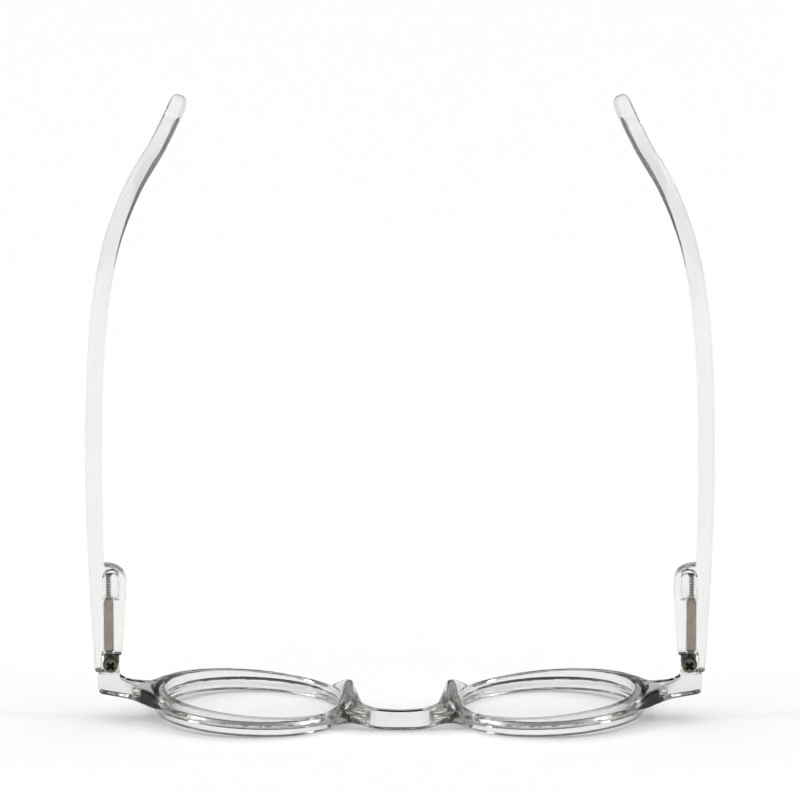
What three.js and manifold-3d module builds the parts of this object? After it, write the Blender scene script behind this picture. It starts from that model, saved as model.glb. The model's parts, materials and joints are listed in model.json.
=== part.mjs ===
// Round clear eyeglasses with spring hinges, standing on the fronts of their rims, temples up.
// Millimetres. +X is the wearer's left, -Y the worn top, +Z the way back to the ears.
import * as THREE from 'three';
import { mergeVertices } from 'three/addons/utils/BufferGeometryUtils.js';
import Module from 'manifold-3d';

const wasm = await Module();
wasm.setup();

// Fit between pieces
const GAP = 0.3;

// Rims and lenses, measured in the plane of one rim
const RIM = { x: 34.5, outer: 23.4, inner: 20.6, depth: 4.4, edge: 0.7, round: 1.1, lip: 0.3, sides: 64 };
const DEEPEN = 0.045; // how fast the rim gets deeper towards the temple
const DRAFT = 0.2; // how much smaller the rim is at its front
const WRAP = THREE.MathUtils.degToRad(2.5);
const FLAT_CUT = 0.6; // how deep the floor plane trims the nasal arc of each rim
const RIM_LIFT = RIM.outer * Math.sin(WRAP) - FLAT_CUT;
const GROOVE = { middle: 2.3, half: 0.95, depth: 1.0 };
const LENS_ROOM = RIM.inner + 1.05;
const LENS = { radius: RIM.inner - GAP, bevel: 0.9, thickness: 1.2, curve: 130, sides: 44, rings: 4 };

// Bridge and moulded nose pads
const BRIDGE = { depth: 5, edge: 0.9, top: -16.9, bottom: -13.3 };
// Height of the bridge's front face at steps from the middle out: it bows forward in the middle
const BRIDGE_LIFT = [[0, 0.25], [4, 0.4], [7, 0.75], [9.5, 1.15], [11.5, 1.2], [14, 0.1], [18, -0.8]];
const PAD = { x: 11.7, y: 0, z: 3.3, halfWidth: 2.7, halfHeight: 10.5, halfDepth: 5 };

// Hinge: every pin turns about a line along Y through AXIS
const AXIS = { x: 67.15, y: -4.1, z: 13.2 };
const BUTT = 11.2; // back face of the end piece
const END_PIECE = { height: 5.4, edge: 0.6, inner: 65.2, outer: 70.1, corner: 1.3 };
const LUG = { radius: 1.9, outer: 1.6, near: 1.1, far: 2.1, bore: 0.85 };
const EYE = { radius: 1.7, halfHeight: 0.85, head: [65.2, 68.8], top: 15.4 };
const SCREW = { radius: 0.6, head: 1.75, headHeight: 0.7, recess: 0.4, slot: 0.5, reach: 2.5 };

// Spring unit in the temple
const UNIT_X = 67.55; // middle of the box, the rod and the coil
const SHANK = { width: 1.7, end: 16.2 };
const BOX = { width: 2.35, height: 3.4, z: [16.5, 28.8], bore: 0.7 };
const ROD = { radius: 0.28, end: 34.9 };
const COIL = { radius: 0.52, wire: 0.14, z: [29.1, 34.1], turns: 8 };
const COLLAR = { radius: 0.95, bore: 0.55, z: [34.3, 34.9] };

// Temple
const ARM = { start: 11.5, thick: 3.6, tipThick: 4.1, steps: 34, cap: 5 };
const OUTER_SKIN = 69.2; // the arm stands outside the hinge from here out
const BOSS = { foot: 64.5, inner: 63.5, z: [15.7, 36.8], height: 5.2, edge: 0.8 };
const CAVITY = { x: [64.9, 69], height: 3.8, crown: 1.8, end: 35.6 };
const FLEX = THREE.MathUtils.degToRad(8);

// Centre line of the left temple, from the hinge to the tip
const ARM_LINE = [
  [68.95, AXIS.y, ARM.start],
  [70.0, AXIS.y, 30],
  [70.65, AXIS.y, 47],
  [70.7, AXIS.y, 65],
  [70.1, AXIS.y, 84],
  [68.7, -4, 99],
  [66.2, -3, 112],
  [61.3, 0, 124.5],
  [55.7, 6.6, 133.6],
  [51.2, 17.2, 142.3],
];
// Height of the arm at steps along its length, 0 at the hinge and 1 at the tip
const ARM_HEIGHT = [[0, 5.4], [0.3, 5], [0.6, 4.9], [0.75, 5.8], [0.88, 7.6], [1, 8.6]];

// ---- geometry helpers ----

// The geometry with its vertices joined, and its faces turned out if they point in.
function closed(source) {
  const geometry = source.clone();
  geometry.deleteAttribute('normal');
  geometry.deleteAttribute('uv');
  const merged = mergeVertices(geometry, 1e-4);
  const points = merged.attributes.position;
  const index = merged.index.array;
  const [a, b, c] = [new THREE.Vector3(), new THREE.Vector3(), new THREE.Vector3()];
  const kept = [];
  let volume = 0;
  for (let i = 0; i < index.length; i += 3) {
    const [p, q, r] = [index[i], index[i + 1], index[i + 2]];
    if (p === q || q === r || r === p) continue;
    kept.push(p, q, r);
    a.fromBufferAttribute(points, p);
    b.fromBufferAttribute(points, q);
    c.fromBufferAttribute(points, r);
    volume += a.dot(b.cross(c));
  }
  if (volume < 0) kept.reverse();
  merged.setIndex(kept);
  return merged;
}

function solid(source) {
  const geometry = closed(source);
  return new wasm.Manifold(new wasm.Mesh({
    numProp: 3,
    vertProperties: new Float32Array(geometry.attributes.position.array),
    triVerts: new Uint32Array(geometry.index.array),
  }));
}

function toGeometry(manifold) {
  const mesh = manifold.getMesh();
  const geometry = new THREE.BufferGeometry();
  geometry.setAttribute('position', new THREE.BufferAttribute(mesh.vertProperties, 3));
  geometry.setIndex(new THREE.BufferAttribute(mesh.triVerts, 1));
  return geometry;
}

function join(first, ...others) {
  return others.reduce((sum, one) => sum.add(solid(one)), solid(first));
}

function cut(body, ...tools) {
  return tools.reduce((rest, tool) => rest.subtract(solid(tool)), body);
}

function box([x0, x1], [y0, y1], [z0, z1]) {
  const geometry = new THREE.BoxGeometry(x1 - x0, y1 - y0, z1 - z0);
  return geometry.translate((x0 + x1) / 2, (y0 + y1) / 2, (z0 + z1) / 2);
}

// A round pin on the hinge's axis
function pin(radius, [y0, y1], sides = 24) {
  const geometry = new THREE.CylinderGeometry(radius, radius, y1 - y0, sides);
  return geometry.translate(AXIS.x, (y0 + y1) / 2, AXIS.z);
}

// A round rod along Z on the middle line of the spring unit
function rod(radius, [z0, z1], sides = 16) {
  const geometry = new THREE.CylinderGeometry(radius, radius, z1 - z0, sides);
  return geometry.rotateX(Math.PI / 2).translate(UNIT_X, AXIS.y, (z0 + z1) / 2);
}

// An outline in X and Z, extruded along Y between two heights with rounded long edges
function plate(outline, [y0, y1], edge) {
  const geometry = new THREE.ExtrudeGeometry(outline, {
    depth: y1 - y0 - 2 * edge,
    bevelThickness: edge,
    bevelSize: edge,
    bevelOffset: -edge,
    bevelSegments: 2,
    curveSegments: 5,
  });
  return geometry.rotateX(Math.PI / 2).translate(0, y1 - edge, 0);
}

// The geometry joined and then moved point by point
function mapPoints(source, move) {
  const geometry = closed(source);
  const points = geometry.attributes.position;
  const point = new THREE.Vector3();
  for (let i = 0; i < points.count; i++) {
    point.fromBufferAttribute(points, i);
    points.setXYZ(i, ...move(point));
  }
  return geometry;
}

// A straight-line function through [place, value] pairs
function along(table, place) {
  const next = table.findIndex(([at]) => at >= place);
  if (next <= 0) return table[0][1];
  const [a, low] = table[next - 1];
  const [b, high] = table[next];
  return THREE.MathUtils.mapLinear(place, a, b, low, high);
}

function tilted(geometry) {
  return geometry.rotateY(-WRAP).translate(RIM.x, 0, RIM_LIFT);
}

function mirrored(geometry) {
  return geometry.clone().scale(-1, 1, 1);
}

// ---- rims, lenses and front ----

function rimRing() {
  const { outer, inner, depth, edge, round, lip } = RIM;
  const path = new THREE.Path();
  path.moveTo(inner, round);
  path.lineTo(inner, GROOVE.middle - GROOVE.half);
  path.lineTo(inner + GROOVE.depth, GROOVE.middle);
  path.lineTo(inner, GROOVE.middle + GROOVE.half);
  path.lineTo(inner, depth - lip);
  path.lineTo(inner + lip, depth);
  path.lineTo(outer - edge, depth);
  path.quadraticCurveTo(outer, depth, outer, depth - edge);
  path.lineTo(outer - DRAFT, round);
  path.quadraticCurveTo(outer - DRAFT, 0, outer - DRAFT - round, 0);
  path.lineTo(inner + round, 0);
  path.quadraticCurveTo(inner, 0, inner, round);
  const ring = new THREE.LatheGeometry(path.getPoints(2), RIM.sides).rotateX(Math.PI / 2);
  const base = GROOVE.middle + GROOVE.half;
  const deepened = mapPoints(ring, (p) => {
    const share = Math.max(0, (p.z - base) / (depth - base));
    return [p.x, p.y, p.z + DEEPEN * p.x * share];
  });
  return tilted(deepened);
}

function lens() {
  const { radius, bevel, thickness, curve, rings } = LENS;
  const sag = (r) => curve - Math.sqrt(curve * curve - r * r);
  const front = (r) => GROOVE.middle - thickness / 2 - sag(radius) + sag(r);
  const profile = [];
  for (let i = 0; i <= rings; i++) {
    const r = (radius * i) / rings;
    profile.push(new THREE.Vector2(r, front(r)));
  }
  profile.push(new THREE.Vector2(radius + bevel, GROOVE.middle));
  for (let i = rings; i >= 0; i--) {
    const r = (radius * i) / rings;
    profile.push(new THREE.Vector2(r, front(r) + thickness));
  }
  return tilted(new THREE.LatheGeometry(profile, LENS.sides).rotateX(Math.PI / 2));
}

function bridgeBar() {
  const { top, bottom, depth, edge } = BRIDGE;
  const bar = new THREE.Shape();
  bar.moveTo(0, top);
  bar.bezierCurveTo(6, top, 11, -16.3, 17.6, -14.4);
  bar.lineTo(14.3, -6);
  bar.lineTo(11.2, -5);
  bar.bezierCurveTo(9.5, -8.6, 9, -12.5, 5.8, -13.1);
  bar.quadraticCurveTo(3, bottom, 0, bottom);
  bar.quadraticCurveTo(-3, bottom, -5.8, -13.1);
  bar.bezierCurveTo(-9, -12.5, -9.5, -8.6, -11.2, -5);
  bar.lineTo(-14.3, -6);
  bar.lineTo(-17.6, -14.4);
  bar.bezierCurveTo(-11, -16.3, -6, top, 0, top);
  const geometry = new THREE.ExtrudeGeometry(bar, {
    depth: depth - 2 * edge,
    bevelThickness: edge,
    bevelSize: edge,
    bevelOffset: -edge,
    bevelSegments: 2,
    curveSegments: 6,
  });
  return mapPoints(geometry, (p) => [p.x, p.y, p.z + edge + along(BRIDGE_LIFT, Math.abs(p.x))]);
}

// A half-buried bulge behind the nasal side of the rim, bent round the rim's own circle
function nosePad() {
  const { x, y, z, halfWidth, halfHeight, halfDepth } = PAD;
  const ball = new THREE.SphereGeometry(1, 20, 12).rotateX(Math.PI / 2);
  return mapPoints(ball.scale(halfWidth, halfHeight, halfDepth), (p) => {
    const height = p.y + y;
    const bend = RIM.outer - Math.sqrt(RIM.outer ** 2 - height ** 2);
    return [p.x + x + bend, height, p.z + z];
  });
}

function endPiece() {
  const { inner, outer, corner, height, edge } = END_PIECE;
  const outline = new THREE.Shape();
  outline.moveTo(56.2, 3.5);
  outline.lineTo(58.3, 3.9);
  outline.lineTo(63, 5.2);
  outline.lineTo(outer - corner, 6.2);
  outline.quadraticCurveTo(outer, 6.4, outer, 6.4 + corner);
  outline.lineTo(outer, BUTT + edge);
  outline.lineTo(inner, BUTT + edge);
  outline.lineTo(inner, 10.3);
  outline.quadraticCurveTo(64, 9, 61.5, 8.5);
  outline.quadraticCurveTo(59, 7.9, 56.2, 6.9);
  const block = plate(outline, [AXIS.y - height / 2, AXIS.y + height / 2], edge);
  const above = box([inner - 5, outer + 5], [AXIS.y - height, AXIS.y + height], [BUTT, BUTT + 5]);
  return cut(solid(block), above);
}

// Two lugs on the end piece, one on each side of the spring hinge's eye
function lugs() {
  const both = [-1, 1].map((end) => {
    const reach = [AXIS.y + end * LUG.near, AXIS.y + end * LUG.far].sort((a, b) => a - b);
    const root = box([AXIS.x - LUG.radius, AXIS.x + LUG.outer], reach, [BUTT - 1, AXIS.z]);
    return join(pin(LUG.radius, reach), root);
  });
  return cut(both[0].add(both[1]), pin(LUG.bore, [AXIS.y - 4, AXIS.y + 4]));
}

// The space that one lens and its bevel need, kept clear of everything but the rim
function lensRoom() {
  const top = GROOVE.middle + GROOVE.half;
  const room = new THREE.CylinderGeometry(LENS_ROOM, LENS_ROOM, top + 5, RIM.sides);
  return tilted(room.rotateX(Math.PI / 2).translate(0, 0, (top - 5) / 2));
}

function frontFrame() {
  const half = toGeometry(endPiece().add(solid(nosePad())).add(lugs()));
  const room = lensRoom();
  const body = cut(join(half, mirrored(half), bridgeBar()), room, mirrored(room));
  const ring = rimRing();
  const floor = box([-100, 100], [-50, 50], [-20, 0]);
  return cut(body.add(solid(ring)).add(solid(mirrored(ring))), floor);
}

// ---- hinge ----

function hingeScrew() {
  const seat = AXIS.y - LUG.far - 0.2;
  const shaft = pin(SCREW.radius, [seat - 0.1, AXIS.y + SCREW.reach]);
  const top = seat - SCREW.headHeight;
  const head = pin(SCREW.head, [top, seat], 32);
  const bottom = top + SCREW.recess;
  const wide = SCREW.head * 0.6;
  const narrow = SCREW.slot / 2;
  const slots = [[wide, narrow], [narrow, wide]].map(([x, z]) => box(
    [AXIS.x - x, AXIS.x + x],
    [top - 1, bottom],
    [AXIS.z - z, AXIS.z + z],
  ));
  return cut(join(shaft, head), ...slots);
}

function hingePlunger() {
  const height = [AXIS.y - EYE.halfHeight, AXIS.y + EYE.halfHeight];
  const shank = [UNIT_X - SHANK.width / 2, UNIT_X + SHANK.width / 2];
  const head = join(
    pin(EYE.radius, height),
    box(EYE.head, height, [AXIS.z, EYE.top]),
    box(shank, height, [AXIS.z, SHANK.end]),
    rod(ROD.radius, [SHANK.end - 0.5, ROD.end]),
  );
  return cut(head, pin(LUG.bore, [AXIS.y - 4, AXIS.y + 4]));
}

// ---- spring unit ----

function springBox() {
  const { width, height, z, bore } = BOX;
  const outline = new THREE.Shape();
  const [x0, x1] = [UNIT_X - width / 2, UNIT_X + width / 2];
  outline.moveTo(x0, z[0]);
  outline.lineTo(x1, z[0]);
  outline.lineTo(x1, z[1] - width / 2);
  outline.quadraticCurveTo(x1, z[1], UNIT_X, z[1]);
  outline.quadraticCurveTo(x0, z[1], x0, z[1] - width / 2);
  const body = plate(outline, [AXIS.y - height / 2, AXIS.y + height / 2], 0.35);
  return cut(solid(body), rod(bore, [z[0] - 1, z[1] + 1]));
}

function coilSpring() {
  class Helix extends THREE.Curve {
    getPoint(t, target = new THREE.Vector3()) {
      const turn = 2 * Math.PI * COIL.turns * t;
      const z = THREE.MathUtils.lerp(COIL.z[0] + COIL.wire, COIL.z[1] - COIL.wire, t);
      return target.set(
        UNIT_X + COIL.radius * Math.cos(turn),
        AXIS.y + COIL.radius * Math.sin(turn),
        z,
      );
    }
  }
  const wire = new THREE.Shape().absarc(0, 0, COIL.wire, 0, 2 * Math.PI);
  return solid(new THREE.ExtrudeGeometry(wire, {
    extrudePath: new Helix(),
    steps: COIL.turns * 12,
    curveSegments: 3,
  }));
}

function springCollar() {
  return cut(solid(rod(COLLAR.radius, COLLAR.z)), rod(COLLAR.bore, [COLLAR.z[0] - 1, COLLAR.z[1] + 1]));
}

// ---- temple ----

// The arm: one rounded section carried along its centre line, deeper at the ear, closed in a round tip
function templeArm() {
  const line = new THREE.CatmullRomCurve3(ARM_LINE.map((point) => new THREE.Vector3(...point)));
  const length = line.getLength();
  const section = new THREE.Shape();
  section.moveTo(-0.5, -0.28);
  section.lineTo(-0.5, 0.28);
  section.quadraticCurveTo(-0.5, 0.5, -0.2, 0.5);
  section.lineTo(0.2, 0.5);
  section.quadraticCurveTo(0.5, 0.5, 0.5, 0.28);
  section.lineTo(0.5, -0.28);
  section.quadraticCurveTo(0.5, -0.5, 0.2, -0.5);
  section.lineTo(-0.2, -0.5);
  section.quadraticCurveTo(-0.5, -0.5, -0.5, -0.28);
  const bar = new THREE.ExtrudeGeometry(section, {
    depth: 1,
    steps: ARM.steps,
    bevelEnabled: false,
    curveSegments: 3,
  });
  const up = new THREE.Vector3(0, 1, 0);
  return mapPoints(bar, (p) => {
    const t = Math.sin((p.z * Math.PI) / 2);
    const centre = line.getPointAt(t);
    const tangent = line.getTangentAt(t);
    const high = up.clone().addScaledVector(tangent, -up.dot(tangent)).normalize();
    const wide = new THREE.Vector3().crossVectors(high, tangent);
    const left = Math.max(0, 1 - ((1 - t) * length) / ARM.cap);
    const shrink = Math.max(0.25, Math.sqrt(1 - left * left));
    const thick = THREE.MathUtils.lerp(ARM.thick, ARM.tipThick, t) * Math.sqrt(shrink);
    centre.addScaledVector(wide, p.x * thick);
    centre.addScaledVector(high, p.y * along(ARM_HEIGHT, t) * shrink);
    return [centre.x, centre.y, centre.z];
  });
}

function bossPlate() {
  const { foot, inner, z, height, edge } = BOSS;
  const outline = new THREE.Shape();
  outline.moveTo(69.2, z[0]);
  outline.lineTo(foot, z[0]);
  outline.lineTo(inner, BOX.z[1]);
  outline.lineTo(inner, z[1] - 4);
  outline.quadraticCurveTo(inner, z[1], 67, z[1]);
  outline.lineTo(69.2, z[1]);
  return plate(outline, [AXIS.y - height / 2, AXIS.y + height / 2], edge);
}

// The hollow behind the spring box, with a rounded end, where the coil works
function springHollow() {
  const { x, height, crown, end } = CAVITY;
  const outline = new THREE.Shape();
  outline.moveTo(x[0], BOX.z[1] - 0.5);
  outline.lineTo(x[1], BOX.z[1] - 0.5);
  outline.lineTo(x[1], end - crown);
  outline.quadraticCurveTo(x[1], end, x[1] - crown, end);
  outline.lineTo(x[0] + crown, end);
  outline.quadraticCurveTo(x[0], end, x[0], end - crown);
  return plate(outline, [AXIS.y - height / 2, AXIS.y + height / 2], 0.4);
}

function temple() {
  const far = [AXIS.y - 10, AXIS.y + 10];
  const pocket = box(
    [UNIT_X - BOX.width / 2 - GAP, UNIT_X + BOX.width / 2 + GAP],
    [AXIS.y - BOX.height / 2 - GAP, AXIS.y + BOX.height / 2 + GAP],
    [BOSS.z[0] - 5, BOX.z[1] + GAP],
  );
  const hingeRoom = box([55, OUTER_SKIN], far, [ARM.start - 5, BOSS.z[0]]);
  // the butt face leans back by the outward flex, so that the arm can spring open
  const wedge = new THREE.BoxGeometry(20, 20, 20).translate(0, 0, -10).rotateY(-FLEX);
  wedge.translate(AXIS.x, AXIS.y, BUTT + 0.05);
  return cut(join(templeArm(), bossPlate()), hingeRoom, wedge, pocket, springHollow());
}

// ---- materials and assembly ----

const MATERIALS = {
  clear: { color: 0xe9edea, roughness: 0.06, metalness: 0, transparent: true, opacity: 0.4 },
  lens: { color: 0xf4f8f7, roughness: 0.02, metalness: 0, transparent: true, opacity: 0.15 },
  hinge: { color: 0x5c5b54, roughness: 0.35, metalness: 0.9 },
  box: { color: 0x968a7a, roughness: 0.4, metalness: 0.7 },
  spring: { color: 0x8f8e88, roughness: 0.3, metalness: 1 },
};

const glasses = new THREE.Group();

function addPiece(name, geometry, look) {
  const shape = closed(geometry);
  shape.computeVertexNormals();
  const piece = new THREE.Mesh(shape, new THREE.MeshStandardMaterial(MATERIALS[look]));
  piece.name = name;
  glasses.add(piece);
}

addPiece('front_frame', toGeometry(frontFrame()), 'clear');

const SIDE_PIECES = {
  lens: [lens(), 'lens'],
  hinge_screw: [toGeometry(hingeScrew()), 'hinge'],
  hinge_plunger: [toGeometry(hingePlunger()), 'hinge'],
  spring_box: [toGeometry(springBox()), 'box'],
  coil_spring: [toGeometry(coilSpring()), 'spring'],
  spring_collar: [toGeometry(springCollar()), 'spring'],
  temple: [toGeometry(temple()), 'clear'],
};

for (const [piece, [geometry, look]] of Object.entries(SIDE_PIECES)) {
  addPiece(`left_${piece}`, geometry, look);
  addPiece(`right_${piece}`, mirrored(geometry), look);
}

export default glasses;
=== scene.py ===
import json
import math

import bmesh
import bpy
import numpy as np
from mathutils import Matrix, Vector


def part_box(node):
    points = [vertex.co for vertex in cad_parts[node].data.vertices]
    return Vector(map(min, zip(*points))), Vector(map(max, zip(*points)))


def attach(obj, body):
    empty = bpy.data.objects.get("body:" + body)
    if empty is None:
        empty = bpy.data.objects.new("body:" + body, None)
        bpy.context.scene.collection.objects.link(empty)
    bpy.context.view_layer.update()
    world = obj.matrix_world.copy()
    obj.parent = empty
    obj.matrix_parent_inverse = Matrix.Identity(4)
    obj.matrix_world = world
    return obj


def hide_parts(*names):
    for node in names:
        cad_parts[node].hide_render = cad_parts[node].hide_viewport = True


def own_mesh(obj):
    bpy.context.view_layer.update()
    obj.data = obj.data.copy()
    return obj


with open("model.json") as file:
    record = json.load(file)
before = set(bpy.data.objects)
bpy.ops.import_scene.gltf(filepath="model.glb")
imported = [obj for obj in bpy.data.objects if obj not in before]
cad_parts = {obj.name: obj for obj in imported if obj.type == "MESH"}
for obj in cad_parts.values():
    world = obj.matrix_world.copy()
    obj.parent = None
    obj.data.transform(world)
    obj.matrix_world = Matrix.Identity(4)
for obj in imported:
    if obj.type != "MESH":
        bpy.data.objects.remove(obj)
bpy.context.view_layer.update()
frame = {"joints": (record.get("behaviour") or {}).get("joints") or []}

import openvdb
from mathutils import Vector

MM = 0.001

# ---- places taken from the frame ----


def corners(node):
    """Lowest and highest corner of a CAD node, in millimetres."""
    low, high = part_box(node)
    return np.array(low) / MM, np.array(high) / MM


FRONT_LOW, FRONT_HIGH = corners("front_frame")
LENS_LOW, LENS_HIGH = corners("left_lens")
TEMPLE_LOW, _ = corners("left_temple")
BOX_LOW, BOX_HIGH = corners("left_spring_box")
COIL_LOW, COIL_HIGH = corners("left_coil_spring")
COLLAR_LOW, COLLAR_HIGH = corners("left_spring_collar")
SCREW_LOW, SCREW_HIGH = corners("left_hinge_screw")
PLUNGER_LOW, PLUNGER_HIGH = corners("left_hinge_plunger")
FOLD = next(j for j in frame["joints"] if j["name"] == "left_temple_fold")
AXIS_X, AXIS_Y, AXIS_Z = (value / MM for value in FOLD["pos_m"])

# Rims
WRAP = math.radians(2.5)  # how far each rim is turned back towards its temple
RIM_WIDTH = 2.8
RIM_OUTER = FRONT_HIGH[1]
RIM_INNER = RIM_OUTER - RIM_WIDTH
RIM_DEPTH, DEEPEN = 4.4, 0.045  # the rim gets deeper towards the temple
DRAFT = 0.055  # the outer walls lean in towards the front
GROOVE_MIDDLE, GROOVE_HALF, GROOVE_DEPTH = 2.3, 0.95, 1.0
FOOT_CUT = 0.6  # how deep the floor's plane cuts the rims flat
RIM_X = (LENS_LOW[0] + LENS_HIGH[0]) / 2 + GROOVE_MIDDLE * math.sin(WRAP)
RIM_LIFT = RIM_OUTER * math.sin(WRAP) - FOOT_CUT
BUTT_DROP = 2.0
BUTT = AXIS_Z - BUTT_DROP  # height of the end piece's flat top, below the hinge axis
UNIT_X = (BOX_LOW[0] + BOX_HIGH[0]) / 2  # the spring unit's middle line

# Angles over which an edge is drawn sharp, in degrees
FIELD_SHARP, LOFT_SHARP, LENS_SHARP = 35, 40, 25

# ---- distance fields, all in millimetres ----


def rounded(a, b, radius):
    """Distance to the overlap of two half-spaces or outlines, with a rounded edge."""
    a, b = a + radius, b + radius
    return np.minimum(np.maximum(a, b), 0) + np.hypot(np.maximum(a, 0), np.maximum(b, 0)) - radius


def blended(a, b, width):
    """The union of two fields with a fillet about as wide as width."""
    mix = np.clip(0.5 + 0.5 * (b - a) / width, 0, 1)
    return b + (a - b) * mix - width * mix * (1 - mix)


def carved(body, tool, width):
    """The body less the tool, with a slightly softened edge."""
    return -blended(-body, tool, width)


def slab(value, low, high):
    """Distance to the space between two planes."""
    return np.abs(value - (low + high) / 2) - (high - low) / 2


def block(x, y, z, low, high, radius):
    """Distance to a box with rounded edges."""
    flat = rounded(slab(x, low[0], high[0]), slab(z, low[2], high[2]), radius)
    return rounded(flat, slab(y, low[1], high[1]), radius)


def drum(x, y, z, radius, low, high, edge=0.15):
    """A round pin on the hinge axis between two heights along Y."""
    return rounded(np.hypot(x - AXIS_X, z - AXIS_Z) - radius, slab(y, low, high), edge)


def rod(x, y, z, radius, low, high, edge=0.1):
    """A round rod on the spring unit's middle line between two heights along Z."""
    return rounded(np.hypot(x - UNIT_X, y - AXIS_Y) - radius, slab(z, low, high), edge)


def outline(u, v, points):
    """Signed distance to a closed outline in two coordinates, negative inside."""
    nearest = np.inf
    outside = np.ones(np.broadcast(u, v).shape, dtype=bool)
    for (u0, v0), (u1, v1) in zip(points, points[1:] + points[:1]):
        du, dv = u1 - u0, v1 - v0
        t = np.clip(((u - u0) * du + (v - v0) * dv) / (du * du + dv * dv), 0, 1)
        nearest = np.minimum(nearest, np.hypot(u - u0 - t * du, v - v0 - t * dv))
        level = (v0 <= v) != (v1 <= v)
        upward = 1 if v1 > v0 else -1
        outside ^= level & ((u - u0) * dv * upward < (v - v0) * du * upward)
    return np.where(outside, nearest, -nearest)


def curve(*points, steps=8):
    """Points of a quadratic or cubic Bezier curve, without its first point."""
    hull = [np.array(point, float) for point in points]
    result = []
    for i in range(1, steps + 1):
        level = hull
        while len(level) > 1:
            level = [a + (b - a) * i / steps for a, b in zip(level, level[1:])]
        result.append(tuple(level[0]))
    return result


# ---- meshes ----


def piece_from(name, points, faces):
    """A smooth-shaded mesh whose faces point outwards."""
    mesh = bpy.data.meshes.new(name)
    mesh.from_pydata([tuple(p) for p in np.asarray(points) * MM], [], [tuple(f) for f in faces])
    mesh.validate()
    built = bmesh.new()
    built.from_mesh(mesh)
    bmesh.ops.recalc_face_normals(built, faces=built.faces)
    if built.calc_volume(signed=True) < 0:
        bmesh.ops.reverse_faces(built, faces=built.faces)
    built.to_mesh(mesh)
    built.free()
    mesh.shade_smooth()
    made = bpy.data.objects.new(name, mesh)
    bpy.context.collection.objects.link(made)
    return made


def piece_from_field(name, field, low, high, voxel):
    """A mesh of the surface where the field is zero, drawn on to the exact surface in three steps."""
    low = np.array(low, float) - 3 * voxel
    count = np.ceil((np.array(high, float) + 3 * voxel - low) / voxel).astype(int) + 1
    x, y, z = (low[i] + voxel * np.arange(count[i]) for i in range(3))
    values = field(x[:, None, None], y[None, :, None], z[None, None, :])
    grid = openvdb.FloatGrid(background=1.0)
    grid.copyFromArray(np.ascontiguousarray(np.broadcast_to(values, count), dtype=np.float32))
    cells, _, quads = grid.convertToPolygons(isovalue=0.0, adaptivity=0.0)
    points = low + voxel * cells
    step = voxel * 0.1
    for _ in range(3):
        px, py, pz = points.T
        value = field(px, py, pz)
        slope = np.stack([
            field(px + step, py, pz) - field(px - step, py, pz),
            field(px, py + step, pz) - field(px, py - step, pz),
            field(px, py, pz + step) - field(px, py, pz - step),
        ], axis=1) / (2 * step)
        steep = np.maximum((slope ** 2).sum(axis=1), 0.25)
        move = np.clip(value / steep, -voxel / 2, voxel / 2)
        points = points - slope * move[:, None]
    made = piece_from(name, points, quads)
    made.data.set_sharp_from_angle(angle=math.radians(FIELD_SHARP))
    return made


def mirrored(piece, name):
    """The same piece for the wearer's right."""
    mesh = piece.data.copy()
    mesh.name = name
    points = np.empty(len(mesh.vertices) * 3)
    mesh.vertices.foreach_get("co", points)
    points[0::3] *= -1
    mesh.vertices.foreach_set("co", points)
    mesh.flip_normals()
    made = bpy.data.objects.new(name, mesh)
    bpy.context.collection.objects.link(made)
    return made


def loft(name, sections, sharp=LOFT_SHARP):
    """A closed skin over a row of sections that have the same number of points."""
    count = len(sections[0])
    points = np.concatenate(sections)
    faces = []
    for row in range(len(sections) - 1):
        for i in range(count):
            j = (i + 1) % count
            a, b = row * count, (row + 1) * count
            faces.append((a + i, a + j, b + j, b + i))
    last = (len(sections) - 1) * count
    faces.append(tuple(range(count)))
    faces.append(tuple(last + i for i in reversed(range(count))))
    made = piece_from(name, points, faces)
    made.data.set_sharp_from_angle(angle=math.radians(sharp))
    return made


def cut_with(piece, tool):
    """Takes the tool's shape out of the piece, for good."""
    cut = piece.modifiers.new("cut", "BOOLEAN")
    cut.operation = "DIFFERENCE"
    cut.solver = "EXACT"
    cut.object = tool
    graph = bpy.context.evaluated_depsgraph_get()
    mesh = bpy.data.meshes.new_from_object(piece.evaluated_get(graph))
    piece.modifiers.clear()
    piece.data = mesh
    bpy.data.objects.remove(tool)
    mesh.set_sharp_from_angle(angle=math.radians(FIELD_SHARP))


# ---- front moulding ----


def rim_space(x, y, z):
    """Radius from the rim's middle and height above its front face."""
    across = np.abs(x) - RIM_X
    up = z - RIM_LIFT
    local_x = across * math.cos(WRAP) + up * math.sin(WRAP)
    local_z = up * math.cos(WRAP) - across * math.sin(WRAP)
    return np.hypot(local_x, y), local_z, local_x


RIM_BACK_EDGE, RIM_FRONT_EDGE = 0.25, 0.45
GROOVE_SCALE = 0.69  # brings the groove's slanted sides near to true distances


def ring_field(x, y, z):
    """One rim with the lens groove in its inner wall."""
    radius, height, local_x = rim_space(x, y, z)
    back = RIM_DEPTH + DEEPEN * local_x
    wall = slab(radius, RIM_INNER, RIM_OUTER - DRAFT * (back - height))
    behind = rounded(wall, height - back, RIM_BACK_EDGE)
    ring = np.maximum(behind, rounded(wall, -height, RIM_FRONT_EDGE))
    groove = (radius - RIM_INNER) / GROOVE_DEPTH + np.abs(height - GROOVE_MIDDLE) / GROOVE_HALF - 1
    return carved(ring, groove * GROOVE_SCALE, 0.1)


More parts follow.
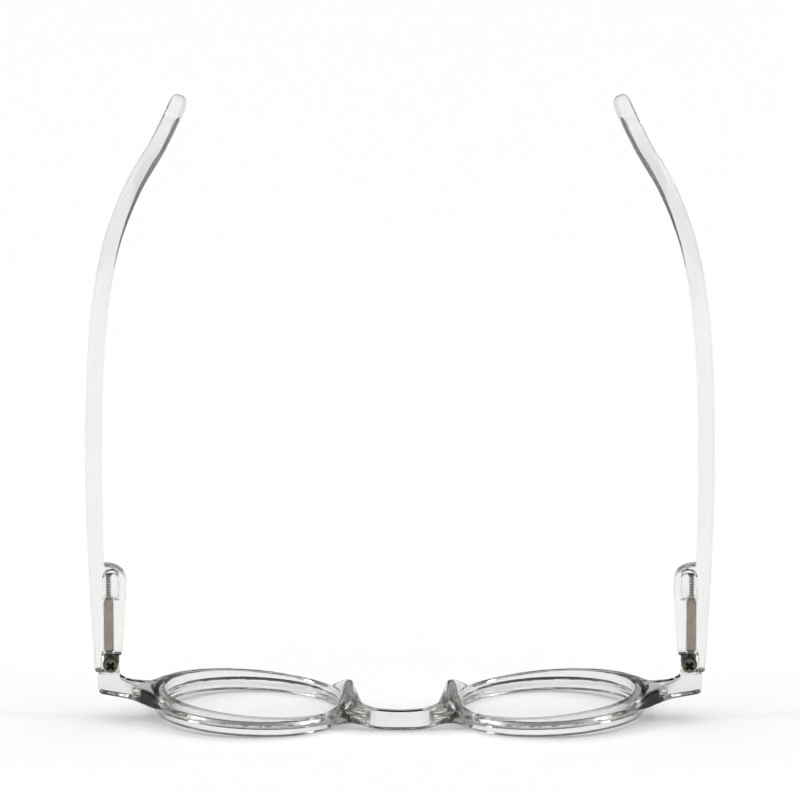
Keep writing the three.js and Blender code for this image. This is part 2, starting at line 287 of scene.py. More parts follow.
BRIDGE_TOP, BRIDGE_BOTTOM = -16.9, -13.3
BRIDGE_FRONT, BRIDGE_BACK = 0.3, 4.6  # heights of its two faces in its middle
ROOT_LIFT, ROOT_X, ROOT_REACH = 1.3, 11.5, 4.5  # the front face rises where the bridge meets the rims
BOW_RISE, BOW_LENGTH, BOW_END = 0.9, 9, 12  # the back face rises away from the middle
ROOT_BACK, ROOT_FROM, ROOT_TO = 3.6, 10.5, 15  # the back face sinks into the rims between these X
BRIDGE_OUTLINE = (
    [(-3, BRIDGE_TOP), (0, BRIDGE_TOP)]
    + curve((0, BRIDGE_TOP), (6, BRIDGE_TOP), (11, -16.3), (17.6, -14.4))
    + [(14.3, -6), (11, -4.5)]
    + curve((11, -4.5), (9.6, -8), (9, -12.3), (5.4, -13.1))
    + curve((5.4, -13.1), (3, BRIDGE_BOTTOM), (0, BRIDGE_BOTTOM))
    + [(-3, BRIDGE_BOTTOM)]
)


def smooth_step(value, low, high):
    """From 0 to 1 between low and high, level at both ends."""
    t = np.clip((value - low) / (high - low), 0, 1)
    return t * t * (3 - 2 * t)


def bridge_field(x, y, z):
    """A bar that bows forward in its middle and sinks into the rims at its ends."""
    across = np.abs(x)
    bow = np.minimum(across, BOW_END) / BOW_LENGTH
    root = smooth_step(across, ROOT_FROM, ROOT_TO)
    front = BRIDGE_FRONT + ROOT_LIFT * np.exp(-((across - ROOT_X) / ROOT_REACH) ** 2)
    back = (BRIDGE_BACK + BOW_RISE * bow * bow) * (1 - root) + ROOT_BACK * root
    flat = outline(across, y, BRIDGE_OUTLINE) + DRAFT * (back - z)
    return np.maximum(rounded(flat, z - back, 0.4), rounded(flat, front - z, 0.5))


PAD_PEAK, PAD_CREST = 8.3, -1.5  # the fin's height and where along the rim it is highest
PAD_DROP, PAD_POWER = 4.9, 1.6  # how far it falls over its reach, and how fast
PAD_LONG, PAD_STEEP = 16.0, 6.5  # its reach towards the worn bottom and towards the bridge
PAD_FLARE, FLARE_MIDDLE, FLARE_REACH = 1.9, -2, 6.5  # how far it stands out towards the nose
NASAL_LEAN, NASAL_FROM = 0.52, 3.5
INNER_INSET, INNER_LEAN, INNER_FROM = 0.3, 0.08, 4.2
NASAL_SCALE, INNER_SCALE = 0.94, 0.95  # bring the slanted sides near to true distances
PAD_BASE = 1.2  # height of its foot inside the rim


def pad_field(x, y, z):
    """A shark's fin standing on the back of the rim, flared towards the nose."""
    radius, _, local_x = rim_space(x, y, z)
    along = np.arctan2(y, -local_x) * RIM_OUTER
    away = along - PAD_CREST
    reach = np.where(away > 0, PAD_LONG, PAD_STEEP)
    ridge = PAD_PEAK - PAD_DROP * (np.abs(away) / reach) ** PAD_POWER
    share = np.exp(-((along - FLARE_MIDDLE) / FLARE_REACH) ** 2)
    nasal = RIM_OUTER + share * (PAD_FLARE - NASAL_LEAN * (z - NASAL_FROM))
    inner = RIM_INNER + INNER_INSET + INNER_LEAN * (z - INNER_FROM)
    sides = rounded((radius - nasal) * NASAL_SCALE, (inner - radius) * INNER_SCALE, 0.5)
    upper = rounded(sides, z - ridge, 0.8)
    return rounded(upper, PAD_BASE - z, 1.6)


END_HEIGHT, END_FILLET = 5.4, 8.0
FADE_FROM, FADE_TO, FADE_DEPTH = 47, 58, 3  # the bar fades out inside the rim between these X
END_INNER, END_OUTER = AXIS_X - 1.95, FRONT_HIGH[0]
END_OUTLINE = (
    [(48, 2.2), (56.2, 3.4), (58.3, 3.9), (63, 5.2), (END_OUTER - 1.4, 6.2)]
    + curve((END_OUTER - 1.4, 6.2), (END_OUTER, 6.4), (END_OUTER, 7.8))
    + [(END_OUTER, BUTT + 2), (END_INNER, BUTT + 2), (END_INNER, 10.3)]
    + curve((END_INNER, 10.3), (64.2, 9.1), (61.5, 8.5))
    + curve((61.5, 8.5), (59, 7.9), (56.2, 6.9))
    + [(48, 5.4)]
)


def end_field(x, y, z):
    """The end piece, with a wide fillet on both sides where it leaves the rim."""
    radius, _, _ = rim_space(x, y, z)
    bar = slab(y, AXIS_Y - END_HEIGHT / 2, AXIS_Y + END_HEIGHT / 2)
    disc = radius - RIM_OUTER
    fillet = np.hypot(np.maximum(END_FILLET - bar, 0), np.maximum(END_FILLET - disc, 0))
    plan = np.maximum(END_FILLET, np.minimum(bar, disc)) - fillet
    flat = outline(np.abs(x), z, END_OUTLINE)
    fade = 1 - smooth_step(np.abs(x), FADE_FROM, FADE_TO)
    return rounded(plan, flat, 0.7) + FADE_DEPTH * fade


LUG_NEAR, LUG_FAR = 1.1, 2.1  # from the hinge's middle plane
LUG_RADIUS, LUG_HOLE, LUG_SIDE, LUG_ROOT = 1.9, 0.75, 1.6, 1


def lug_field(x, y, z):
    """Two lugs that hold the hinge screw."""
    across = np.abs(x)
    height = np.abs(y - AXIS_Y)
    from_axis = np.hypot(across - AXIS_X, z - AXIS_Z)
    ear = rounded(from_axis - LUG_RADIUS, slab(height, LUG_NEAR, LUG_FAR), 0.2)
    low = (AXIS_X - LUG_RADIUS, LUG_NEAR, BUTT - LUG_ROOT)
    high = (AXIS_X + LUG_SIDE, LUG_FAR, AXIS_Z)
    both = np.minimum(ear, block(across, height, z, low, high, 0.15))
    return carved(both, from_axis - LUG_HOLE, 0.08)


LENS_ROOM_DEPTH, LENS_ROOM_TOP = 1.05, 3.3  # bridge, pads and end pieces stay out of the groove
CLEAR_OPENING = 0.15  # how far outside the rim's inner wall those three end
FRONT_VOXEL = 0.22


def front_field(x, y, z):
    """The whole front moulding: rims, bridge, pads, end pieces and lugs."""
    radius, height, _ = rim_space(x, y, z)
    added = blended(bridge_field(x, y, z), pad_field(x, y, z), 0.5)
    added = np.minimum(added, end_field(x, y, z))
    lens_room = rounded(radius - RIM_INNER - LENS_ROOM_DEPTH, height - LENS_ROOM_TOP, 0.05)
    added = carved(added, lens_room, 0.1)
    added = carved(added, radius - RIM_INNER - CLEAR_OPENING, 0.6)
    whole = blended(ring_field(x, y, z), added, 1.2)
    whole = carved(whole, z, 0.15)
    whole = carved(whole, BUTT - z, 0.25)
    return np.minimum(whole, lug_field(x, y, z))


def front_moulding():
    made = piece_from_field("front_moulding", front_field, FRONT_LOW, FRONT_HIGH, FRONT_VOXEL)
    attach(made, "front")
    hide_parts("front_frame")
    return made


def finish_both(piece, name, body, node):
    """The left piece and its mirror image ride on their bodies and stand for their nodes."""
    both = []
    piece.name = f"left_{name}"
    for side, one in (("left", piece), ("right", mirrored(piece, f"right_{name}"))):
        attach(one, body.format(side=side))
        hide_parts(f"{side}_{node}")
        both.append(one)
    return both


# ---- lenses ----

LENS_RADIUS, LENS_BEVEL, LENS_THICK, LENS_CURVE = 20.3, 0.9, 1.2, 130.0
LENS_ROWS, LENS_SIDES = 20, 144


def lens_pieces():
    """Curved discs of even thickness with a bevel that sits in the groove."""
    def sag(r):
        return LENS_CURVE - math.sqrt(LENS_CURVE ** 2 - r * r)

    def front(r):
        return GROOVE_MIDDLE - LENS_THICK / 2 - sag(LENS_RADIUS) + sag(r)

    radii = [LENS_RADIUS * i / LENS_ROWS for i in range(1, LENS_ROWS + 1)]
    profile = [(r, front(r)) for r in radii] + [(LENS_RADIUS + LENS_BEVEL, GROOVE_MIDDLE)]
    profile += [(r, front(r) + LENS_THICK) for r in reversed(radii)]
    sections = []
    angle = np.arange(LENS_SIDES) * 2 * math.pi / LENS_SIDES
    for radius, height in profile:
        x, y = radius * np.cos(angle), radius * np.sin(angle)
        sections.append(np.stack([
            RIM_X + x * math.cos(WRAP) - height * math.sin(WRAP),
            y,
            RIM_LIFT + height * math.cos(WRAP) + x * math.sin(WRAP),
        ], axis=1))
    made = loft("lens", sections, LENS_SHARP)
    return finish_both(made, "clear_lens", "front", "lens")


# ---- hinge metal ----

HEAD_RADIUS, HEAD_HEIGHT, SHAFT_RADIUS = 1.7, 0.75, 0.6
RECESS_DEPTH, RECESS_LONG, RECESS_NARROW = 0.55, 1.1, 0.33
SCREW_VOXEL = 0.05


def screw_field(x, y, z):
    """The hinge screw: a flat head with a cross recess, and a plain shaft."""
    top = SCREW_LOW[1]
    seat = top + HEAD_HEIGHT
    head = drum(x, y, z, HEAD_RADIUS, top, seat + 0.05, 0.22)
    shaft = drum(x, y, z, SHAFT_RADIUS, seat - 0.2, SCREW_HIGH[1], 0.1)
    turned_x = (x - AXIS_X + z - AXIS_Z) * math.sqrt(0.5)
    turned_z = (z - AXIS_Z - x + AXIS_X) * math.sqrt(0.5)
    depth = y - top - RECESS_DEPTH
    one = np.maximum(np.abs(turned_x) - RECESS_LONG, np.abs(turned_z) - RECESS_NARROW)
    two = np.maximum(np.abs(turned_z) - RECESS_LONG, np.abs(turned_x) - RECESS_NARROW)
    cross = np.maximum(np.minimum(one, two), depth)
    return carved(np.minimum(head, shaft), cross, 0.08)


PLUNGER_HALF = 0.85
EYE_RADIUS, EYE_HOLE = 1.65, 0.72
BLOCK_INNER, BLOCK_OUTER, BLOCK_TOP = 1.9, 1.6, 15.35
NECK_FOOT, NECK_TOP = 14.5, 16.2
ROD_RADIUS, ROD_FOOT = 0.28, 15.8
THROUGH = 9  # a bore's tool reaches this far past the piece
PLUNGER_VOXEL = 0.07


def plunger_field(x, y, z):
    """The eye round the screw, the block behind it, and the rod into the spring unit."""
    low, high = AXIS_Y - PLUNGER_HALF, AXIS_Y + PLUNGER_HALF
    eye = drum(x, y, z, EYE_RADIUS, low, high)
    head_low = (AXIS_X - BLOCK_INNER, low, AXIS_Z)
    head = block(x, y, z, head_low, (AXIS_X + BLOCK_OUTER, high, BLOCK_TOP), 0.2)
    neck_low = (UNIT_X - PLUNGER_HALF, low, NECK_FOOT)
    neck = block(x, y, z, neck_low, (UNIT_X + PLUNGER_HALF, high, NECK_TOP), 0.15)
    whole = np.minimum(blended(eye, head, 0.3), blended(head, neck, 0.4))
    whole = np.minimum(whole, rod(x, y, z, ROD_RADIUS, ROD_FOOT, PLUNGER_HIGH[2], 0.08))
    return carved(whole, drum(x, y, z, EYE_HOLE, AXIS_Y - THROUGH, AXIS_Y + THROUGH, 0), 0.06)


BOX_BORE, BOX_VOXEL = 0.6, 0.09


def box_field(x, y, z):
    """The spring unit's box, round at its far end, with a bore for the rod."""
    low, high = BOX_LOW, BOX_HIGH
    half = (high[0] - low[0]) / 2
    end = np.hypot(x - UNIT_X, np.maximum(z - (high[2] - half), 0)) - half
    flat = rounded(end, low[2] - z, 0.15)
    body = rounded(flat, slab(y, low[1], high[1]), 0.5)
    return carved(body, rod(x, y, z, BOX_BORE, low[2] - THROUGH, high[2] + THROUGH, 0), 0.08)


COLLAR_RADIUS, COLLAR_HOLE, COLLAR_VOXEL = 0.93, 0.45, 0.05


def collar_field(x, y, z):
    """The ring at the end of the rod that the coil pushes on."""
    low, high = COLLAR_LOW[2], COLLAR_HIGH[2]
    body = rod(x, y, z, COLLAR_RADIUS, low, high, 0.12)
    return carved(body, rod(x, y, z, COLLAR_HOLE, low - THROUGH, high + THROUGH, 0), 0.05)


COIL_TURNS, WIRE_RADIUS, WIRE_SIDES, STEPS_PER_TURN = 8, 0.13, 10, 28
FLAT_END = 0.06  # share of the wire at each end that lies flat, as ground spring ends do


def coil_spring():
    middle = (COIL_HIGH[0] - COIL_LOW[0]) / 2 - WIRE_RADIUS
    low, high = COIL_LOW[2] + WIRE_RADIUS, COIL_HIGH[2] - WIRE_RADIUS
    total = COIL_TURNS * STEPS_PER_TURN
    angle = np.arange(WIRE_SIDES)[:, None] * 2 * math.pi / WIRE_SIDES
    up = np.array([0, 0, 1.0])
    sections = []
    for i in range(total + 1):
        turn = 2 * math.pi * i / STEPS_PER_TURN
        rise = np.clip((i / total - FLAT_END) / (1 - 2 * FLAT_END), 0, 1)
        out = np.array([math.cos(turn), math.sin(turn), 0])
        centre = np.array([UNIT_X, AXIS_Y, low + (high - low) * rise]) + middle * out
        sections.append(centre + WIRE_RADIUS * (np.cos(angle) * out + np.sin(angle) * up))
    return loft("coil", sections)


def hinge_pieces():
    """Steel pieces, spring boxes, and the coils with their collars."""
    made = piece_from_field("screw", screw_field, SCREW_LOW, SCREW_HIGH, SCREW_VOXEL)
    steel = finish_both(made, "screw", "front", "hinge_screw")
    made = piece_from_field("plunger", plunger_field, PLUNGER_LOW, PLUNGER_HIGH, PLUNGER_VOXEL)
    steel += finish_both(made, "plunger_rod", "{side}_plunger", "hinge_plunger")
    made = piece_from_field("box", box_field, BOX_LOW, BOX_HIGH, BOX_VOXEL)
    boxes = finish_both(made, "unit_box", "{side}_arm", "spring_box")
    made = piece_from_field("collar", collar_field, COLLAR_LOW, COLLAR_HIGH, COLLAR_VOXEL)
    springs = finish_both(made, "collar", "{side}_plunger", "spring_collar")
    coils = finish_both(coil_spring(), "coil", "{side}_plunger", "coil_spring")
    for side, coil in zip(("left", "right"), coils):
        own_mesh(coil)
    return steel, boxes, springs + coils


# ---- temples ----

ARM_START = TEMPLE_LOW[2]
ARM_LINE = np.array([
    (68.95, AXIS_Y, ARM_START), (70.0, AXIS_Y, 30), (70.65, AXIS_Y, 47), (70.7, AXIS_Y, 65),
    (70.1, AXIS_Y, 84), (68.7, -4, 99), (66.2, -3, 112), (61.3, 0, 124.5), (55.7, 6.6, 133.6),
    (51.2, 17.2, 142.3),
])
ARM_THICK, TIP_THICK = 3.6, 4.1
FOOT_HEIGHT, FOOT_LEAN = 5.4, math.radians(8)
# Height along Y at shares of the temple's length
HEIGHTS = ([0, 0.3, 0.6, 0.75, 0.88, 1], [FOOT_HEIGHT, 5, 4.9, 5.8, 7.6, 8.6])
SKIN_INNER = 69.2  # inner face of the thin skin beside the hinge
SKIN_LEVELS = [12.8, 14.0]
BOSS_LOW, BOSS_HIGH, BOSS_CROWN = 15.7, 36.8, 3.6  # it is rounded off over its crown
BOSS_FOOT, BOSS_INNER = 64.5, 63.5  # its inner face at its foot and at its widest
BOSS_LEVELS = [16.5, 17.2, 18, 19, 21, 24, 27, 28.8, 31, 32.5]
STRAIGHT_LEVELS = [38, 40, 42]
STRAIGHT_END = 44.0
CHAMFER = 0.18  # on the edges where the foot and the boss begin
BOSS_EDGE, ARM_EDGE, EDGE_GROWTH = 0.55, 1.15, 0.3  # rounding of the edges, wider towards the tip
TIP_ROUND = 5.0  # length of the rounded ear end
CROWN_STEPS, BODY_STEPS, TIP_STEPS = 14, 90, 16
TANGENT_REACH, LAST_STEP = 0.4, 0.02
QUARTER = math.pi / 2


def smooth_line(points):
    """A fine polyline through the points: cubic stretches over their chord lengths."""
    gaps = np.linalg.norm(np.diff(points, axis=0), axis=1)
    at = np.concatenate([[0], np.cumsum(gaps)])
    slope = np.gradient(points, at, axis=0, edge_order=2)
    fine = np.linspace(0, at[-1], 600)
    k = np.clip(np.searchsorted(at, fine) - 1, 0, len(at) - 2)
    h = (at[k + 1] - at[k])[:, None]
    t = ((fine - at[k]) / h[:, 0])[:, None]
    return ((2 * t ** 3 - 3 * t ** 2 + 1) * points[k] + (t ** 3 - 2 * t ** 2 + t) * h * slope[k]
            + (3 * t ** 2 - 2 * t ** 3) * points[k + 1] + (t ** 3 - t ** 2) * h * slope[k + 1])


def rounded_section(width, height, radius, corner=8, side=5):
    """Points round a rounded rectangle, anticlockwise from the foot of its first corner."""
    radius = min(radius, width / 2 - 0.02, height / 2 - 0.02)
    u, v = width / 2 - radius, height / 2 - radius
    points = []
    for k, (cu, cv) in enumerate(((u, v), (-u, v), (-u, -v), (u, -v))):
        for i in range(corner + 1):
            angle = QUARTER * (k + i / corner)
            points.append((cu + radius * math.cos(angle), cv + radius * math.sin(angle)))
        nu, nv = ((-u, v), (-u, -v), (u, -v), (u, v))[k]
        angle = QUARTER * (k + 1)
        start = np.array(points[-1])
        stop = np.array([nu + radius * math.cos(angle), nv + radius * math.sin(angle)])
        for i in range(1, side):
            points.append(tuple(start + (stop - start) * i / side))
    return np.array(points)


def boss_inner(z, arm_inner):
    """The inner face of the temple at height z."""
    slope = BOSS_FOOT + (BOSS_INNER - BOSS_FOOT) * min((z - BOSS_LOW) / (BOX_HIGH[2] - BOSS_LOW), 1)
    if z > BOSS_HIGH - BOSS_CROWN:
        reach = min((z - BOSS_HIGH + BOSS_CROWN) / BOSS_CROWN, 1)
        drop = 1 - math.sqrt(max(0, 1 - reach * reach))
        return slope + (arm_inner - slope) * drop
    return slope


def ease_out(count):
    """Steps from 0 to 1 that get closer together, as the rings of a dome do."""
    return np.sin(np.linspace(0, QUARTER, count))


def arm_sections():
    """The temple's sections, from its foot through the boss to the rounded ear end."""
    line = smooth_line(ARM_LINE)
    place = np.concatenate([[0], np.cumsum(np.linalg.norm(np.diff(line, axis=0), axis=1))])
    length = place[-1]

    def at(distance):
        return np.array([np.interp(distance, place, line[:, i]) for i in range(3)])

    def height_at(share):
        return float(np.interp(share, *HEIGHTS))

    def outer_at(z):
        return float(np.interp(z, line[:, 2], line[:, 0])) + ARM_THICK / 2

    def flat_section(z, inner, outer, height, inset=0.0, lean=0.0):
        edge_round = float(np.interp(z, (BOSS_HIGH, STRAIGHT_END), (BOSS_EDGE, ARM_EDGE)))
        shape = rounded_section(outer - inner - 2 * inset, height - 2 * inset, edge_round - inset)
        x = (inner + outer) / 2 + shape[:, 0]
        return np.stack([x, AXIS_Y + shape[:, 1], z + (x - SKIN_INNER) * math.tan(lean)], axis=1)

    # the skin beside the hinge
    outer = at(0)[0] + ARM_THICK / 2
    sections = [
        flat_section(ARM_START, SKIN_INNER, outer, FOOT_HEIGHT, CHAMFER, FOOT_LEAN),
        flat_section(ARM_START + CHAMFER, SKIN_INNER, outer, FOOT_HEIGHT, 0, FOOT_LEAN),
    ]
    for z in SKIN_LEVELS + [BOSS_LOW - 0.01]:
        sections.append(flat_section(z, SKIN_INNER, outer_at(z), FOOT_HEIGHT))

    # the boss over the spring unit, and the straight stretch after it
    sections.append(flat_section(BOSS_LOW, BOSS_FOOT + CHAMFER, outer_at(BOSS_LOW), FOOT_HEIGHT))
    levels = np.concatenate([
        [BOSS_LOW + CHAMFER],
        BOSS_LEVELS,
        BOSS_HIGH - BOSS_CROWN * (1 - ease_out(CROWN_STEPS)),
        STRAIGHT_LEVELS,
        [STRAIGHT_END],
    ])
    for z in levels:
        arm_inner = outer_at(z) - ARM_THICK
        inner = boss_inner(z, arm_inner) if z < BOSS_HIGH else arm_inner
        sections.append(flat_section(z, inner, outer_at(z), height_at(z / length)))

    # the bend and the ear end, with each section square to the line
    begin = float(np.interp(STRAIGHT_END, line[:, 2], place))
    body = begin + (length - begin) * np.linspace(0, 1, BODY_STEPS)[1:-1]
    tip = length - TIP_ROUND * (1 - ease_out(TIP_STEPS))
    up = np.array([0, 1.0, 0])
    body = body[body < length - TIP_ROUND]
    for distance in np.concatenate([body, tip[:-1], [length - LAST_STEP]]):
        share = distance / length
        ahead, behind = at(min(distance + TANGENT_REACH, length)), at(distance - TANGENT_REACH)
        tangent = (ahead - behind) / np.linalg.norm(ahead - behind)
        high = up - tangent * up.dot(tangent)
        high /= np.linalg.norm(high)
        wide = np.cross(high, tangent)
        left = max(0, 1 - (length - distance) / TIP_ROUND)
        shrink = math.sqrt(max(0.0, 1 - left * left))
        thick = (ARM_THICK + (TIP_THICK - ARM_THICK) * share) * math.sqrt(shrink)
        shape = rounded_section(thick, height_at(share) * shrink, ARM_EDGE + EDGE_GROWTH * share)
        sections.append(at(distance) + shape[:, :1] * wide + shape[:, 1:] * high)
    return sections


POCKET_GAP = 0.15  # round the box
ROOM_X, ROOM_HALF_WIDTH, ROOM_HALF_DEPTH = 66.95, 0.25, 1.9
DOME_Z, DOME_RADIUS = 33.8, 1.8
POCKET_LOW = np.array([BOX_LOW[0] - POCKET_GAP, BOX_LOW[1] - POCKET_GAP, BOSS_LOW - 3])
POCKET_HIGH = BOX_HIGH + POCKET_GAP
CAVITY_VOXEL = 0.12


def cavity_field(x, y, z):
    """The box's pocket and the room with a domed end that the coil lies in."""
    pocket = block(x, y, z, POCKET_LOW, POCKET_HIGH, 0.25)
    aside = np.maximum(np.abs(x - ROOM_X) - ROOM_HALF_WIDTH, 0)
    dome = np.hypot(aside, np.maximum(z - DOME_Z, 0)) - DOME_RADIUS
    flat = rounded(dome, BOX_HIGH[2] - 0.3 - z, 0.3)
    hollow = rounded(flat, slab(y, AXIS_Y - ROOM_HALF_DEPTH, AXIS_Y + ROOM_HALF_DEPTH), 0.9)
    return np.minimum(pocket, hollow)


def arm_pieces():
    made = loft("arm", arm_sections())
    reach = ROOM_HALF_WIDTH + DOME_RADIUS
    low = (ROOM_X - reach, POCKET_LOW[1], POCKET_LOW[2])
    high = (ROOM_X + reach, POCKET_HIGH[1], DOME_Z + DOME_RADIUS)
    cut_with(made, piece_from_field("cavity", cavity_field, low, high, CAVITY_VOXEL))
    return finish_both(made, "arm_moulding", "{side}_arm", "temple")


# ---- materials ----


def new_material(name):
    material = bpy.data.materials.new(name)
    material.use_nodes = True
    nodes = material.node_tree.nodes
    return material, nodes, material.node_tree.links, nodes["Principled BSDF"]


def noise(nodes, links, scale, detail=3.0):
    """A noise from 0 to 1, with about scale waves to the metre."""
    where = nodes.new("ShaderNodeTexCoord")
    pattern = nodes.new("ShaderNodeTexNoise")
    pattern.inputs["Scale"].default_value = scale
    pattern.inputs["Detail"].default_value = detail
    links.new(where.outputs["Object"], pattern.inputs["Vector"])
    return pattern.outputs["Fac"]


def spread(nodes, links, value, low, high):
    """The value from 0 to 1 carried to a range."""
    ramp = nodes.new("ShaderNodeMapRange")
    ramp.inputs["To Min"].default_value = low
    ramp.inputs["To Max"].default_value = high
    links.new(value, ramp.inputs["Value"])
    return ramp.outputs["Result"]


def tint(nodes, links, value, low, high):
    """The value from 0 to 1 carried to a colour between two."""
    ramp = nodes.new("ShaderNodeValToRGB")
    for element, position, colour in zip(ramp.color_ramp.elements, (0.3, 0.7), (low, high)):
        element.position = position
        element.color = (*colour, 1)
    links.new(value, ramp.inputs["Fac"])
    return ramp.outputs["Color"]


PLASTIC_IOR = 1.5
PLASTIC_SMOKE = (0.62, 0.65, 0.6, 1)  # what thick plastic darkens to


def clear_material(name, low, high, bump, alpha=1.0, density=0.0):
    """Polished clear plastic: faint flow waves under the skin and a slightly uneven polish."""
    material, nodes, links, skin = new_material(name)
    skin.inputs["Transmission Weight"].default_value = 1.0
    skin.inputs["IOR"].default_value = PLASTIC_IOR
    skin.inputs["Alpha"].default_value = alpha
    if density:
        body = nodes.new("ShaderNodeVolumeAbsorption")
        body.inputs["Color"].default_value = PLASTIC_SMOKE
        body.inputs["Density"].default_value = density
        links.new(body.outputs["Volume"], nodes["Material Output"].inputs["Volume"])
    links.new(tint(nodes, links, noise(nodes, links, 90), low, high), skin.inputs["Base Color"])
    polish = spread(nodes, links, noise(nodes, links, 400), 0.0, 0.035)
    links.new(polish, skin.inputs["Roughness"])
    waves = nodes.new("ShaderNodeBump")
    waves.inputs["Strength"].default_value = bump
    waves.inputs["Distance"].default_value = 0.0002
    links.new(noise(nodes, links, 160, 1.0), waves.inputs["Height"])
    links.new(waves.outputs["Normal"], skin.inputs["Normal"])
    return material


FINE_GRAIN, BOX_GRAIN = 2500, 3000  # scales of the brushed grain


def metal_material(name, low, high, rough, grain=FINE_GRAIN, metallic=1.0):
    """Plated metal with fine brushed grain along Z."""
    material, nodes, links, skin = new_material(name)
    skin.inputs["Metallic"].default_value = metallic
    where = nodes.new("ShaderNodeTexCoord")
    stretch = nodes.new("ShaderNodeMapping")
    stretch.inputs["Scale"].default_value = (1.0, 1.0, 0.08)
    links.new(where.outputs["Object"], stretch.inputs["Vector"])
    pattern = nodes.new("ShaderNodeTexNoise")
    pattern.inputs["Scale"].default_value = grain
    pattern.inputs["Detail"].default_value = 4
    links.new(stretch.outputs["Vector"], pattern.inputs["Vector"])
    fine = pattern.outputs["Fac"]
    links.new(tint(nodes, links, noise(nodes, links, 700), low, high), skin.inputs["Base Color"])
    links.new(spread(nodes, links, fine, rough - 0.08, rough + 0.1), skin.inputs["Roughness"])
    scratch = nodes.new("ShaderNodeBump")
    scratch.inputs["Strength"].default_value = 0.25
    scratch.inputs["Distance"].default_value = 0.00003
    links.new(fine, scratch.inputs["Height"])
    links.new(scratch.outputs["Normal"], skin.inputs["Normal"])
    return material


def dress(pieces, material):
    """One material all over each piece."""
    for piece in pieces:
        piece.data.materials.clear()
        piece.data.materials.append(material)


def dress_part(pieces, material, inside):
    """Another material on the faces that inside picks by their middles, in mm, X without sign."""
    for piece in pieces:
        piece.data.materials.append(material)
        for face in piece.data.polygons:
            x, y, z = face.center
            if inside(abs(x) / MM, y / MM, z / MM):
                face.material_index = len(piece.data.materials) - 1


# ---- floor, light and camera ----

FLOOR_HALF = 6.0
KEY_STRENGTH, KEY_SPREAD = 0.35, math.radians(14)
WORLD_STRENGTH = 1.78
# Upwards, the light grows from its low level to full between these Z of a direction
OVERHEAD_FROM, OVERHEAD_FULL, LOW_LEVEL = 0.5, 0.8, 0.01
# Backwards, it grows from the front's level to full between these Y of a direction
FRONT_FROM, FRONT_FULL, FRONT_LEVEL = -0.75, -0.45, 0.15
CAMERA_PLACE, CAMERA_TILT, CAMERA_LENS = (0, -1.466, 0.3773), 11.66, 291.5


def floor():
    mesh = bpy.data.meshes.new("floor")
    size = FLOOR_HALF
    edge = [(-size, -size, 0), (size, -size, 0), (size, size, 0), (-size, size, 0)]
    mesh.from_pydata(edge, [], [(0, 1, 2, 3)])
    made = bpy.data.objects.new("floor", mesh)
    bpy.context.collection.objects.link(made)
    material, _, _, skin = new_material("white_floor")
    skin.inputs["Base Color"].default_value = (0.93, 0.93, 0.93, 1)
    skin.inputs["Roughness"].default_value = 0.9
    skin.inputs["Specular IOR Level"].default_value = 0.1
    mesh.materials.append(material)


def side_light(name, direction):
    """A far, soft light, so that the floor is as bright far off as it is near."""
    data = bpy.data.lights.new(name, "SUN")
    data.energy = KEY_STRENGTH
    data.angle = KEY_SPREAD
    made = bpy.data.objects.new(name, data)
    made.rotation_euler = Vector(direction).to_track_quat("Z", "Y").to_euler()
    bpy.context.collection.objects.link(made)


def studio():
    """White overhead, dark low all round and dimmed in front, to draw the clear edges."""
    world = bpy.data.worlds.new("studio")
    bpy.context.scene.world = world
    world.use_nodes = True
    nodes, links = world.node_tree.nodes, world.node_tree.links
    back = nodes["Background"]
    where = nodes.new("ShaderNodeTexCoord")
    parts = nodes.new("ShaderNodeSeparateXYZ")
    links.new(where.outputs["Generated"], parts.inputs["Vector"])

    def product(a, b):
        node = nodes.new("ShaderNodeMath")
        node.operation = "MULTIPLY"
        for socket, value in zip(node.inputs, (a, b)):
            if isinstance(value, float):
                socket.default_value = value
            else:
                links.new(value, socket)
        return node.outputs["Value"]

    def ramp(value, low, high, start, end):
        node = nodes.new("ShaderNodeMapRange")
        node.interpolation_type = "SMOOTHSTEP"
        names = ("From Min", "From Max", "To Min", "To Max")
        for name, number in zip(names, (low, high, start, end)):
            node.inputs[name].default_value = number
        links.new(value, node.inputs["Value"])
        return node.outputs["Result"]

    overhead = ramp(parts.outputs["Z"], OVERHEAD_FROM, OVERHEAD_FULL, LOW_LEVEL, 1.0)
    front = ramp(parts.outputs["Y"], FRONT_FROM, FRONT_FULL, FRONT_LEVEL, 1.0)
    strength = product(product(overhead, front), WORLD_STRENGTH)
    links.new(strength, back.inputs["Strength"])
    back.inputs["Color"].default_value = (1, 1, 1, 1)
    side_light("left_key", (1, -0.15, 0.6))
    side_light("right_key", (-1, -0.15, 0.6))
    bpy.context.scene.view_settings.view_transform = "Standard"


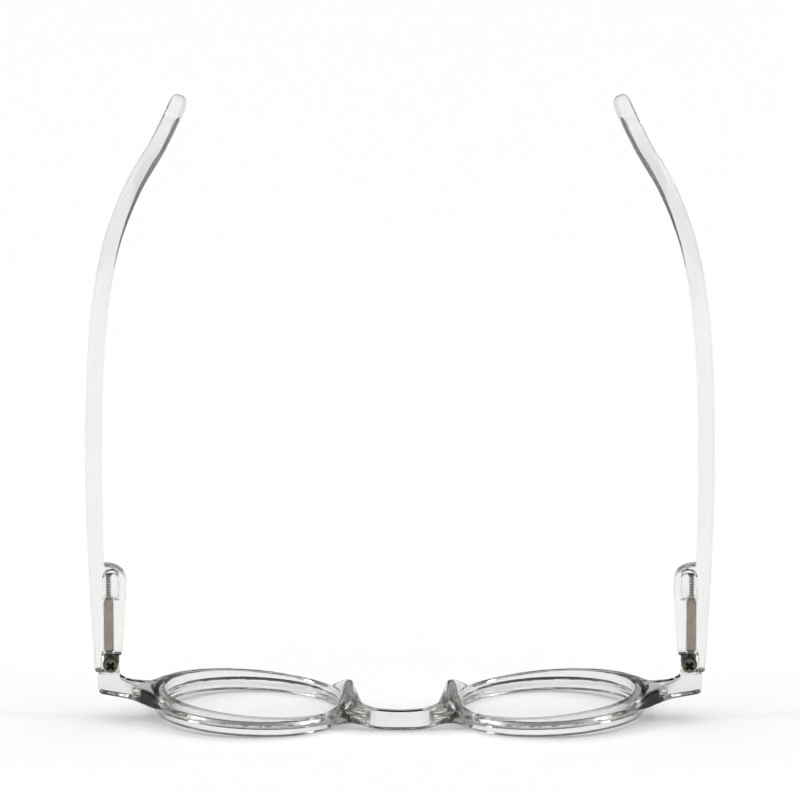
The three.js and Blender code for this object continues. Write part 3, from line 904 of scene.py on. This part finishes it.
def camera():
    data = bpy.data.cameras.new("camera")
    data.sensor_width = 36
    data.lens = CAMERA_LENS
    data.clip_end = 50
    made = bpy.data.objects.new("camera", data)
    made.location = CAMERA_PLACE
    made.rotation_euler = (math.radians(90 - CAMERA_TILT), 0, 0)
    bpy.context.collection.objects.link(made)
    bpy.context.scene.camera = made


camera()
floor()
studio()

temple_clear = clear_material(
    "clear_plastic", (0.9, 0.905, 0.895), (0.94, 0.945, 0.935), 0.05, alpha=0.88, density=30)
front_clear = clear_material(
    "clear_front", (0.89, 0.895, 0.885), (0.93, 0.935, 0.925), 0.03, density=60)
lens_clear = clear_material(
    "lens_plastic", (0.985, 0.99, 0.985), (0.995, 0.995, 0.99), 0.01, alpha=0.06)
hinge_steel = metal_material("hinge_steel", (0.08, 0.078, 0.06), (0.2, 0.19, 0.155), 0.3)
box_tan = metal_material("unit_metal", (0.34, 0.29, 0.23), (0.45, 0.39, 0.31), 0.4, BOX_GRAIN)
spring_steel = metal_material("spring_steel", (0.025, 0.024, 0.022), (0.06, 0.058, 0.052), 0.4)
# painted light: the rod, plunger steel elsewhere, is coloured pale and less metallic so it reads
# bright inside the dim spring unit
rod_painted_light = metal_material("rod_painted_light_steel", (0.88, 0.88, 0.86), (0.96, 0.96, 0.94), 0.5, metallic=0.6)
# painted shade: the screw's cross recess is coloured near black to stand in for the shade inside it
recess_painted_shade = metal_material("painted_shade_recess", (0.012, 0.012, 0.01), (0.03, 0.03, 0.025), 0.6)

# where the painted light on the rod and the painted shade in the screw's recess begin and end
ROD_INSIDE_FROM = 17.0
RECESS_FROM, RECESS_TO = SCREW_LOW[1] + 0.1, SCREW_LOW[1] + 0.6
RECESS_REACH = 1.25


def on_rod_painted_light(x, y, z):
    """The plunger's rod inside the spring unit, which gets a pale colour as painted light."""
    return z > ROD_INSIDE_FROM


def in_recess_painted_shade(x, y, z):
    """The walls and floor of the cross in the screw's head, which get a near-black colour as painted
    shade.
    """
    return RECESS_FROM < y < RECESS_TO and math.hypot(x - AXIS_X, z - AXIS_Z) < RECESS_REACH


dress([front_moulding()], front_clear)
dress(lens_pieces(), lens_clear)
steel_pieces, box_pieces, spring_pieces = hinge_pieces()
dress(steel_pieces, hinge_steel)
# painted light: the rod inside the spring unit gets the pale colour
dress_part(steel_pieces, rod_painted_light, on_rod_painted_light)
# painted shade: the cross recess in the screw head gets the near-black colour
dress_part(steel_pieces, recess_painted_shade, in_recess_painted_shade)
dress(box_pieces, box_tan)
dress(spring_pieces, spring_steel)
dress(arm_pieces(), temple_clear)
